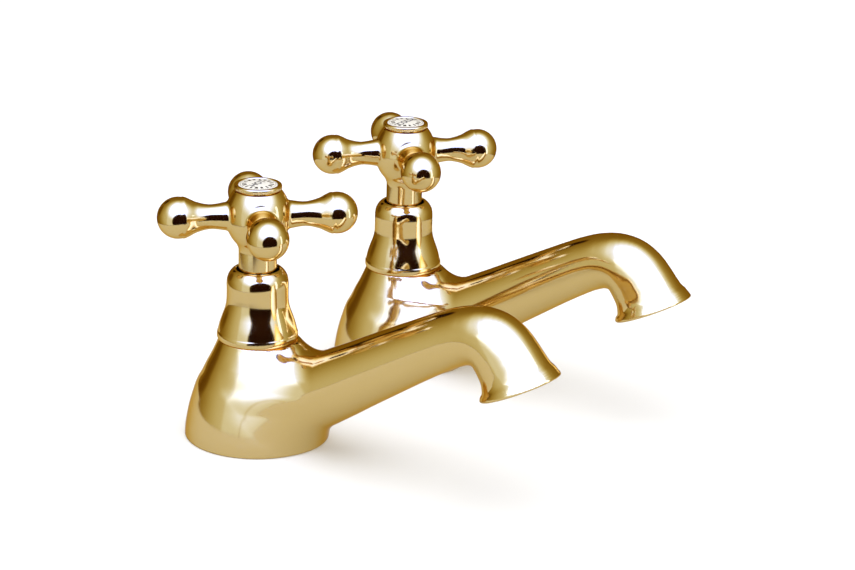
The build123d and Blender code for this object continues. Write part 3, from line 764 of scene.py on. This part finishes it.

# %% [markdown]
# ## The studio
#
# A mirror finish is lit by what it reflects. A product studio for plated taps is a pale tent, brightest
# above and in front, over a small table, with an opening in front for the camera: the tent draws soft white
# highlights, the table an even tan below them, and the opening the small black shapes that give polished
# metal its depth. The tent is written into the world's colour by direction. The big floor gives the picture
# its pale ground but is left out of reflections, where the small table stands instead. That table glows by
# its own emission, painted light for a lit tan table, and has a dark ring painted at its edge as painted
# shadow.

# %% Camera
AZIMUTH, DOWN, ROLL = (math.radians(degrees) for degrees in (31.05, 19.03, 1.37))
camera = bpy.data.objects.new("studio_camera", bpy.data.cameras.new("studio_camera"))
bpy.context.scene.collection.objects.link(camera)
bpy.context.scene.camera = camera
forward = Vector((-math.sin(AZIMUTH) * math.cos(DOWN), math.cos(AZIMUTH) * math.cos(DOWN), -math.sin(DOWN)))
right = forward.cross(Vector((0, 0, 1))).normalized()
upward = right.cross(forward)
tilted_right = right * math.cos(ROLL) + upward * math.sin(ROLL)
tilted_upward = upward * math.cos(ROLL) - right * math.sin(ROLL)
hot_axis = Vector(axis_of("hot") * MM)
CAMERA_FROM_HOT_TAP = Vector((0.5659, -0.8188, 0.4025))
facing = Matrix((tilted_right, tilted_upward, -forward)).transposed().to_4x4()
camera.matrix_world = Matrix.Translation(hot_axis + CAMERA_FROM_HOT_TAP) @ facing
camera.data.sensor_width, camera.data.lens, camera.data.clip_end = 36, 120.27, 20
print("camera", [round(c, 3) for c in camera.location])

# %% Floor and reflected table
deck = axis_of("hot")[2] * MM


def flat_stage(name, outline, height, material):
    """A flat piece of the studio, which isn't part of the taps."""
    mesh = bpy.data.meshes.new(name)
    mesh.from_pydata([(x, y, height) for x, y in outline], [], [tuple(range(len(outline)))])
    piece = bpy.data.objects.new(name, mesh)
    bpy.context.scene.collection.objects.link(piece)
    dress(piece, material)
    piece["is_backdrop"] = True
    return piece


paper = finish("pale_floor")
floor = flat_stage("pale_floor", [(-6, -6), (6, -6), (6, 6), (-6, 6)], deck,
                   paper.surface(Base_Color=(0.92, 0.92, 0.92, 1), Roughness=0.9))
floor.visible_glossy = False

TABLE_RADIUS, PAINTED_SHADOW_WIDTH = 0.25, 0.008
table_middle = hot_axis + Vector((0.03, 0.04, 0))
table_rim = [(table_middle.x + TABLE_RADIUS * math.cos(t), table_middle.y + TABLE_RADIUS * math.sin(t))
             for t in np.linspace(0, 2 * math.pi, 96, endpoint=False)]
board = finish("table_top")
from_middle = board.node("ShaderNodeVectorMath", {"operation": "DISTANCE"},
                         {0: board.node("ShaderNodeTexCoord", output=3), 1: (*table_middle.xy, 0)}, output=1)
# A ring painted dark round the table's edge: painted shadow, seen in the metal as a thin dark line where the
# table ends.
painted_shadow_ring = from_middle > TABLE_RADIUS - PAINTED_SHADOW_WIDTH
# The table top glows by its own emission: painted light for a lit tan table in the reflections. Its diffuse
# part still takes real shade from the taps.
table_top = board.surface(
    Base_Color=board.mix(painted_shadow_ring, (0.25, 0.25, 0.235), (0.03, 0.02, 0.01)), Roughness=0.9,
    Emission_Color=board.mix(painted_shadow_ring, (0.32, 0.31, 0.28), (0.08, 0.04, 0.01)), Emission_Strength=1.0)
table = flat_stage("reflected_table", table_rim, deck + 0.0003, table_top)
table.visible_camera = table.visible_diffuse = table.visible_shadow = False

# %% The tent, by direction
def way_to(side_degrees, height_degrees):
    """The direction to a place in the tent; side 0 is the camera's own side, and more is to its right."""
    turn, up = math.radians(side_degrees) + AZIMUTH, math.radians(height_degrees)
    return Vector((math.sin(turn) * math.cos(up), -math.cos(turn) * math.cos(up), math.sin(up)))


def ramp(made, value, start, stop, first, last):
    """A smooth rise or fall between two values."""
    return made.node("ShaderNodeMapRange", {"interpolation_type": "SMOOTHSTEP"},
                     {"Value": value, "From Min": start, "From Max": stop, "To Min": first, "To Max": last})


def toward(made, direction, side_degrees, height_degrees, inner, outer):
    """1 within inner degrees of a place in the tent, 0 beyond outer."""
    dot = made.node("ShaderNodeVectorMath", {"operation": "DOT_PRODUCT"},
                    {0: direction, 1: way_to(side_degrees, height_degrees)}, output=1)
    return ramp(made, dot, math.cos(math.radians(outer)), math.cos(math.radians(inner)), 0.0, 1.0)


OPENING = (14, -5, 38, 41)


def tent_glow(made, direction):
    """How bright the tent's cloth is, by direction."""
    glow = 0.27 + 0.48 * toward(made, direction, 0, 15, 50, 130)
    glow = glow + 0.80 * toward(made, direction, 9, 62, 6, 72)
    glow = glow * (1 - 0.15 * toward(made, direction, -125, 0, 66, 72))
    glow = glow * (1 - 0.45 * toward(made, direction, -126, 8, 6, 18))
    return glow * (1 - 0.95 * toward(made, direction, -146, 24, 6, 10))


def toned(made, brightness):
    """Warm where it is dim and cool where it is bright."""
    green, blue = (made.node("ShaderNodeMath", {"operation": "POWER"}, {0: brightness, 1: power})
                   for power in (1.45, 3.2))
    return made.node("ShaderNodeCombineColor", None, {0: brightness, 1: 1.25 * green, 2: 2.45 * blue})


world = bpy.data.worlds.new("studio_tent")
bpy.context.scene.world = world
tent = Finish(world)
sky = tent.node("ShaderNodeTexCoord", output=0)
glow = tent_glow(tent, sky) * (1 - 0.985 * toward(tent, sky, *OPENING))
to_camera, in_reflection = (tent.node("ShaderNodeLightPath", output=n) for n in (0, 3))
lit = tent.mix(in_reflection, (0.85, 0.85, 0.85), toned(tent, glow))
shown = tent.mix(to_camera, lit, (1, 1, 1))
backdrop = tent.node("ShaderNodeBackground", None, {"Color": shown, "Strength": 1.0})
tent.node("ShaderNodeOutputWorld", None, {"Surface": backdrop})

# %% Soft boxes
def softbox(name, side_degrees, height_degrees, distance, width, length, radiance, colour=(1, 1, 1)):
    """An area light that faces the taps."""
    light = bpy.data.lights.new(name, "AREA")
    light.shape, light.size, light.size_y = "RECTANGLE", width, length
    light.energy, light.color = radiance * math.pi * width * length, colour
    lamp = bpy.data.objects.new(name, light)
    bpy.context.scene.collection.objects.link(lamp)
    way = way_to(side_degrees, height_degrees)
    lamp.location = hot_axis + Vector((0.04, 0.05, 0.05)) + distance * way
    lamp.rotation_mode = "QUATERNION"
    lamp.rotation_quaternion = way.to_track_quat("Z", "Y")
    return lamp


overhead = softbox("overhead_box", 0, 84, 1.2, 1.6, 1.6, 1.6)
overhead.visible_glossy = False
strip = softbox("right_strip", 70, 6, 0.34, 0.055, 0.26, 1.6, (0.62, 0.80, 1.6))
strip.visible_diffuse = False

# %% [markdown]
# ## Two screens for the bells
#
# The camera's opening should show on the small round parts, but as a black patch it would spoil the broad
# white face of each bell. A retoucher would paint it out; here two glowing screens are linked to the body
# castings alone. One fills the opening as those castings see it. The other stands round the front and gives
# the bells their wide white highlight, with a crisp upright edge on its left.

# %% Screens that only the castings see
def glowing_screen(name, points, faces, glow_of):
    """A clear sheet that adds light; glow_of(finish) returns its colour and strength."""
    mesh = bpy.data.meshes.new(name)
    mesh.from_pydata(points, [], faces)
    piece = bpy.data.objects.new(name, mesh)
    bpy.context.scene.collection.objects.link(piece)
    piece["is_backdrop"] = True
    silk = finish(name)
    colour, strength = glow_of(silk)
    light = silk.node("ShaderNodeEmission", None, {"Color": colour, "Strength": strength})
    both = silk.node("ShaderNodeAddShader", None, {0: light, 1: silk.node("ShaderNodeBsdfTransparent")})
    silk.node("ShaderNodeOutputMaterial", None, {"Surface": both})
    dress(piece, silk.owner)
    piece.visible_camera = piece.visible_diffuse = piece.visible_shadow = False
    piece.light_linking.receiver_collection = castings
    return piece


castings = bpy.data.collections.new("castings_that_see_the_screens")
for body in bodies:
    castings.objects.link(body)

SCREEN_RADIUS, SCREEN_HEIGHT, SCREEN_FOOT = 1.0, 1.9, -0.06
sides = [way_to(side, 0) * SCREEN_RADIUS + table_middle for side in np.linspace(-54, 84, 47)]


def front_glow(silk):
    """Brightest at two thirds of a metre up, and fading away above and below."""
    up = silk.node("ShaderNodeSeparateXYZ", None, {0: silk.node("ShaderNodeTexCoord", output=3)}, output=2)
    strength = ramp(silk, up, 0.2, 0.64, 0.0, 0.92) * ramp(silk, up, 0.7, SCREEN_HEIGHT, 1.0, 0.0)
    return (0.80, 1.05, 2.2, 1), strength


glowing_screen("front_screen", [(p.x, p.y, deck + z) for p in sides for z in (SCREEN_FOOT, SCREEN_HEIGHT)],
               [(2 * i, 2 * i + 1, 2 * i + 3, 2 * i + 2) for i in range(len(sides) - 1)], front_glow)

PATCH_DISTANCE = 3.0
patch_way = way_to(*OPENING[:2])
patch_middle = table_middle + PATCH_DISTANCE * patch_way
patch_radius = PATCH_DISTANCE * math.tan(math.radians(OPENING[3] + 1))
patch_right = patch_way.cross(Vector((0, 0, 1))).normalized()
patch_up = patch_right.cross(patch_way)


def patch_glow(silk):
    """What the tent would show in the opening's place."""
    spot = silk.node("ShaderNodeVectorMath", {"operation": "SUBTRACT"},
                     {0: silk.node("ShaderNodeTexCoord", output=3), 1: table_middle})
    seen_from_taps = silk.node("ShaderNodeVectorMath", {"operation": "NORMALIZE"}, {0: spot})
    return toned(silk, tent_glow(silk, seen_from_taps)), toward(silk, seen_from_taps, *OPENING)


turns = np.linspace(0, 2 * math.pi, 64, endpoint=False)
patch_edge = [patch_middle + patch_radius * (math.cos(t) * patch_right + math.sin(t) * patch_up)
              for t in turns]
glowing_screen("opening_screen", patch_edge, [tuple(range(len(patch_edge)))], patch_glow)
bpy.context.scene.view_settings.view_transform = "Standard"

# %% [markdown]
# ## Close the file
#
# The engineering model's own box, kept from the first cell, is printed.

# %% Print the model's box
print("CAD box", [round(v / MM, 2) for v in (*cad_low, *cad_high)])
